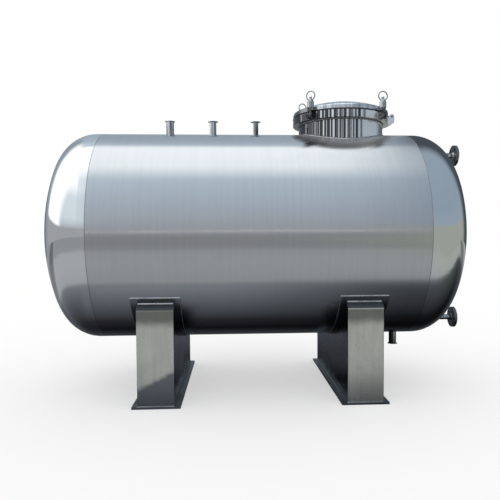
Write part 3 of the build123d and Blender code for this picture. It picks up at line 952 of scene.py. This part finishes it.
def wear_plate_bead(side):
    """The fillet weld round a wear plate: a rounded rectangle wrapped round the tank from below.

    The length along the arc over the tank's radius is the angle from straight down.
    """
    low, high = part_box(f"{side}_saddle_wear_plate")
    half_arc = TANK_RADIUS * math.asin(high.y / (TANK_RADIUS + WEAR_PLATE_THICKNESS))
    u, v, angle = rounded_rectangle((high.x - low.x) / 2, half_arc, 0.001)
    turn = v / TANK_RADIUS
    skin = xyz(0, np.sin(turn), -np.cos(turn))
    path = xyz((low.x + high.x) / 2 + u, 0, AXIS_Z) + TANK_RADIUS * skin
    round_tank = xyz(0, np.cos(turn), np.sin(turn))
    outward = np.cos(angle)[:, None] * LENGTHWISE + np.sin(angle)[:, None] * round_tank
    make_bead(f"{side}_wear_plate_weld", path, outward, skin, 0.0035, 0.0032)


def foot_bead(side):
    """The fillet weld round a saddle's box on its base plate: a rounded rectangle laid flat."""
    left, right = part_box(f"{side}_saddle_left_web")[0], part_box(f"{side}_saddle_right_web")[1]
    low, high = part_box(f"{side}_saddle_front_plate")
    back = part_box(f"{side}_saddle_back_plate")[1]
    half_width = (max(right.x, high.x) - min(left.x, low.x)) / 2
    u, v, angle = rounded_rectangle(half_width, (back.y - low.y) / 2, 0.004)
    path = xyz((left.x + right.x) / 2 + u, (back.y + low.y) / 2 + v, low.z)
    outward = xyz(np.cos(angle), np.sin(angle), 0)
    make_bead(f"{side}_saddle_foot_weld", path, outward, xyz(0, 0, 1), MIDDLE_WELD, MIDDLE_WELD,
              finish="dull_weld")


def lip_bead(side, end):
    """The weld along a lip's top edge: a straight bead, level with the wear plate's tangent."""
    low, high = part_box(f"{side}_saddle_{end}_plate")
    sign = -1 if end == "front" else 1
    reach = TANK_RADIUS + WEAR_PLATE_THICKNESS
    turn = math.acos((AXIS_Z - high.z) / reach)
    sine, cosine = math.sin(turn), math.cos(turn)
    x = np.linspace(low.x + 0.004, high.x - 0.004, 150)
    path = xyz(x, sign * reach * sine, AXIS_Z - reach * cosine)
    outward, upward = xyz(0, sign * cosine, sine), xyz(0, sign * sine, -cosine)
    make_bead(f"{side}_saddle_{end}_lip_weld", path, outward, upward, MIDDLE_WELD, 0.0045,
              closed=False)


def ring_bead():
    """The fillet weld under the manhole's ring: a circle on the neck, in dark weld metal that also
    gives a painted shade under the ring.
    """
    t = turns(1600)
    path = xyz(MANHOLE_X + NECK_RADIUS * np.cos(t), NECK_RADIUS * np.sin(t), RING_BOTTOM)
    make_bead("ring_weld", path, xyz(np.cos(t), np.sin(t), 0), xyz(0, 0, -1), THICK_WELD,
              THICK_WELD, finish="dull_weld")


def make_welds():
    """The weld beads at the seams, nozzles, manhole and saddles."""
    for side in SEAM_X:
        seam_bead(side)
    branch_bead("neck_weld", MANHOLE_X, NECK_RADIUS, THICK_WELD)
    ring_bead()
    for name, radius in TOP_FERRULE_RADII.items():
        low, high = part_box(f"top_ferrule_{name}")
        branch_bead(f"top_ferrule_{name}_weld", (low.x + high.x) / 2, radius, THIN_WELD)
    low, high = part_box("drain_ferrule")
    branch_bead("drain_ferrule_weld", (low.x + high.x) / 2, DRAIN_RADIUS, THIN_WELD, below=True)
    for level in ("upper", "lower"):
        low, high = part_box(f"gauge_flange_{level}")
        height = (low.z + high.z) / 2
        flange_bead(f"gauge_flange_weld_{level}", low.x, height)
        pipe_bead(f"gauge_pipe_weld_{level}", height - AXIS_Z)
    for side in SEAM_X:
        wear_plate_bead(side)
        foot_bead(side)
        lip_bead(side, "front")
        lip_bead(side, "back")


def make_gasket_lip():
    """The squeezed edge of the lid's gasket: a bulged strip carried round the manhole's axis."""
    t = turns(480)[:, None]
    turn = np.linspace(-np.pi / 2, np.pi / 2, 13)
    radius = LID_RADIUS - 0.0015 + 0.0044 * np.abs(np.cos(turn)) ** 0.5
    middle = (RING_TOP + LID_SEAT) / 2
    half = (LID_SEAT - RING_TOP) / 2 + 0.0011
    points = xyz(MANHOLE_X + radius * np.cos(t), radius * np.sin(t), middle + half * np.sin(turn))
    make_surface("manhole_gasket_lip", points, FINISHES["gasket_rubber"], "tank", closed=True)


def make_thread(place):
    """A swing bolt's thread: a ridge that winds up the rod.

    Its height is a wave of the turn and the climb, and it fades towards both ends.
    """
    eye_low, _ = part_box(f"swing_bolt_{place}")
    nut_low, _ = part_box(f"eye_nut_{place}")
    pin_low, pin_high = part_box(f"bolt_pin_{place}")
    x, y = (pin_low.x + pin_high.x) / 2, (pin_low.y + pin_high.y) / 2
    start, end = eye_low.z + OVER_EYE, nut_low.z + INTO_NUT
    t = turns(28)
    rise = np.linspace(start, end, int((end - start) / THREAD_STEP))[:, None]
    ends = np.clip(np.minimum(rise - start, end - rise) / THREAD_FADE, 0, 1)
    ridge = 0.5 + 0.5 * np.cos(2 * np.pi * rise / THREAD_PITCH - t)
    radius = BOLT_RADIUS - THREAD_ROOT + ends * (THREAD_ROOT + THREAD_HEIGHT * ridge)
    points = xyz(x + radius * np.cos(t), y + radius * np.sin(t), rise)
    make_surface(f"bolt_thread_{place}", points, FINISHES["hardware_steel"], f"bolt_{place}",
                 caps=True)


# The tent's colours over the tank, by the angle from the front horizon over the top to the back
# one, in half turns
TENT_ARCH = [
    (0.000, 0.262, 0.270, 0.285),
    (0.021, 0.262, 0.272, 0.290),
    (0.033, 0.360, 0.373, 0.402),
    (0.080, 0.395, 0.425, 0.470),
    (0.270, 0.490, 0.570, 0.660),
    (0.350, 0.540, 0.635, 0.730),
    (0.440, 1.060, 1.120, 1.160),
    (0.610, 1.120, 1.170, 1.220),
    (0.640, 0.500, 0.580, 0.665),
    (0.700, 0.385, 0.455, 0.535),
    (0.800, 0.310, 0.375, 0.430),
    (0.900, 0.300, 0.340, 0.380),
    (1.000, 0.280, 0.300, 0.330),
]
# Its colours to the left and to the right, by the sine of the height over the horizon
TENT_LEFT = [
    (0.165, 0.325, 0.335, 0.350),
    (0.190, 0.400, 0.430, 0.460),
    (0.240, 0.500, 0.550, 0.600),
    (0.320, 0.600, 0.670, 0.720),
    (0.620, 0.640, 0.705, 0.755),
    (0.760, 1.000, 1.020, 1.040),
    (1.000, 1.060, 1.080, 1.100),
]
TENT_RIGHT = [
    (0.000, 0.310, 0.330, 0.300),
    (0.165, 0.310, 0.330, 0.305),
    (0.190, 0.275, 0.330, 0.385),
    (0.450, 0.245, 0.310, 0.380),
    (0.900, 0.270, 0.335, 0.400),
]
# The row of painted lamp glints: its height in half turns, and its spacing sideways
LAMP_HEIGHT = 0.0405
LAMP_SPACING = 0.045
# The ground's colour, with the tank's painted shadow, by the distance from the tank's middle line,
# over GROUND_REACH
GROUND_SHADE = [
    (0.000, 0.004, 0.004, 0.005),
    (0.040, 0.017, 0.017, 0.020),
    (0.090, 0.077, 0.085, 0.098),
    (0.130, 0.126, 0.138, 0.157),
    (0.165, 0.180, 0.194, 0.213),
    (0.185, 0.310, 0.325, 0.345),
    (0.220, 0.330, 0.345, 0.365),
    (0.300, 0.350, 0.365, 0.380),
    (0.540, 0.345, 0.358, 0.372),
    (0.680, 0.268, 0.278, 0.292),
    (1.000, 0.255, 0.265, 0.282),
]
GROUND_REACH = 5.0
SHADE_HALF_LENGTH = 0.80


def glossy_only(piece):
    """Show a stage piece in reflections alone."""
    for ray in ("camera", "diffuse", "transmission", "volume_scatter", "shadow"):
        setattr(piece, f"visible_{ray}", False)


def glow(name, colour_of):
    """A material that gives off the colour worked out from a place."""
    material, tree, surface = new_material(name)
    inputs = {"Color": colour_of(tree), "Strength": TENT_STRENGTH}
    feed(tree, surface, put(tree, "Emission", inputs).outputs[0])
    material.cycles.emission_sampling = "NONE"
    return material


def tent_colour(tree):
    """The painted sky and horizon that the steel mirrors, on a glowing dome seen only in
    reflections.

    Over the tank it is pale in front, with a low row of painted lamp glints, and bright overhead.
    It is white to the left, blue grey to the right, and dark low at the back.
    """
    toward = split(tree, vector_maths(tree, "NORMALIZE", object_coordinates(tree)))
    ahead = times(tree, toward["Y"], -1.0)
    half_turns = maths(tree, "DIVIDE", maths(tree, "ARCTAN2", toward["Z"], ahead), math.pi)
    arch = colour_ramp(tree, half_turns, TENT_ARCH)
    arch = shaded(tree, fade(tree, toward["X"], "arch_edge"), arch, "arch_edge", "DARKEN")
    aside = maths(tree, "DIVIDE", toward["X"], larger(tree, ahead, 0.1))
    pulse = maths(tree, "COSINE", times(tree, aside, 2 * math.pi / LAMP_SPACING))
    level = size_of(tree, less(tree, half_turns, LAMP_HEIGHT))
    lamp_glint = fades(tree, (pulse, "lamp_width"), (level, "lamp_depth"),
                 (size_of(tree, aside), "lamp_row"))
    arch = shaded(tree, lamp_glint, arch, "lamp_glint")
    white = fades(tree, (toward["Y"], "white_sideways"), (toward["Z"], "white_upward"))
    left = shaded(tree, white, colour_ramp(tree, toward["Z"], TENT_LEFT), "white")
    left = shaded(tree, fade(tree, toward["Y"], "left_back"), left, "left_back")
    right = colour_ramp(tree, toward["Z"], TENT_RIGHT)
    right = shaded(tree, fade(tree, toward["Y"], "right_back"), right, "right_back")
    sides = blend_colours(tree, fade(tree, toward["X"], "left_side"), arch, left)
    sides = blend_colours(tree, fade(tree, toward["X"], "right_side"), sides, right)
    far = fades(tree, (toward["Y"], "far_back"), (toward["Z"], "far_low"))
    return shaded(tree, far, sides, "far")


def ground_colour(tree):
    """Pale ground in front; the tank's painted shadow under and behind it, darkest to its right.
    """
    place = split(tree, object_coordinates(tree))
    offset = less(tree, place["X"], TANK_CENTRE[0])
    beyond = larger(tree, less(tree, size_of(tree, offset), SHADE_HALF_LENGTH), 0.0)
    rightward = fade(tree, offset, "ground_rightward")
    beyond = times(tree, beyond, scaled_sum(tree, rightward, -0.72, 1.0))
    behind = fades(tree, (place["Y"], "ground_behind"), (place["Y"], "ground_yard"))
    across = times(tree, place["Y"], scaled_sum(tree, behind, -0.70, 1.0))
    reach = flat_length(tree, beyond, across)
    shade = colour_ramp(tree, maths(tree, "DIVIDE", reach, GROUND_REACH), GROUND_SHADE)
    gain = fades(tree, (offset, "gain_rightward"), (offset, "gain_leftward"))
    gain = scaled_sum(tree, less(tree, gain, 1.0), fade(tree, reach, "ground_near"), 1.0)
    shade = vector_maths(tree, "MULTIPLY", shade, join(tree, gain, gain, gain))
    shade = shaded(tree, fade(tree, offset, "ground_olive"), shade, "ground_olive", "MULTIPLY")
    open_ground = fades(tree, (offset, "open_rightward"), (reach, "open_outward"))
    shade = shaded(tree, open_ground, shade, "open_ground")
    return shaded(tree, times(tree, behind, 0.6), shade, "ground_behind")


def disc(name, z, finish):
    """A flat disc: rings of growing radius about the origin."""
    t = turns(96)
    radius = np.array([0.001, 1.0, 3.0, STAGE_RADIUS])[:, None]
    points = xyz(radius * np.cos(t), radius * np.sin(t), z)
    return make_surface(name, points, finish)


def seen_directly(tree):
    """1 for rays from the camera, in reflections and through glass, else 0."""
    rays = put(tree, "LightPath").outputs
    bounced = larger(tree, rays["Is Glossy Ray"], rays["Is Transmission Ray"])
    return larger(tree, rays["Is Camera Ray"], bounced)


def make_floor():
    """A pale floor that catches shadows, half of it plain white to the eye."""
    material, tree, surface = new_material("pale_floor")
    diffuse = put(tree, "BsdfDiffuse", {"Color": FLOOR_COLOUR})
    white = put(tree, "Emission", {"Color": WHITE, "Strength": 1.0})
    share = times(tree, seen_directly(tree), FLOOR_GLOW)
    inputs = {0: share, 1: diffuse.outputs[0], 2: white.outputs[0]}
    feed(tree, surface, put(tree, "MixShader", inputs).outputs[0])
    floor = disc("floor", 0.0, material)
    floor.visible_glossy = False


def make_tent():
    """A glowing ground and dome over it that show only in reflections: painted reflections."""
    glossy_only(disc("ground", GROUND_LIFT, glow("ground_glow", ground_colour)))
    t, rise = turns(128), np.linspace(0, np.pi / 2 - 0.001, 48)[:, None]
    points = STAGE_RADIUS * xyz(np.cos(rise) * np.cos(t), np.cos(rise) * np.sin(t), np.sin(rise))
    glossy_only(make_surface("tent", points, glow("tent_glow", tent_colour)))


def make_world():
    """Even light from all round, plain white where it is seen."""
    world = bpy.data.worlds.new("studio")
    bpy.context.scene.world = world
    world.use_nodes = True
    tree = world.node_tree
    tree.nodes.clear()
    lit = put(tree, "Background", {"Color": WHITE, "Strength": WORLD_STRENGTH})
    white = put(tree, "Background", {"Color": WHITE, "Strength": 1.0})
    inputs = {0: seen_directly(tree), 1: lit.outputs[0], 2: white.outputs[0]}
    mixed = put(tree, "MixShader", inputs).outputs[0]
    put(tree, "OutputWorld", {"Surface": mixed})


def make_camera():
    """A camera turned by yaw, pitch and roll, its picture's centre a little off the frame's."""
    data = bpy.data.cameras.new("camera")
    data.sensor_width = SENSOR_WIDTH
    data.lens = FOCAL_PIXELS / FRAME_PIXELS * data.sensor_width
    data.shift_x = (FRAME_PIXELS / 2 - CENTRE_PIXEL[0]) / FRAME_PIXELS
    data.shift_y = (CENTRE_PIXEL[1] - FRAME_PIXELS / 2) / FRAME_PIXELS
    camera = bpy.data.objects.new("camera", data)
    bpy.context.scene.collection.objects.link(camera)
    turn = Matrix.Rotation(math.radians(CAMERA_YAW), 4, "Z")
    tilt = Matrix.Rotation(math.radians(90 + CAMERA_PITCH), 4, "X")
    roll = Matrix.Rotation(math.radians(CAMERA_ROLL), 4, "Z")
    camera.matrix_world = Matrix.Translation(CAMERA_PLACE) @ turn @ tilt @ roll
    return camera


dress_nodes()
make_welds()
make_gasket_lip()
for place in ("front_left", "front_right", "back_left", "back_right"):
    make_thread(place)
make_floor()
make_tent()
make_world()
bpy.context.scene.camera = make_camera()
bpy.context.scene.view_settings.view_transform = "Standard"
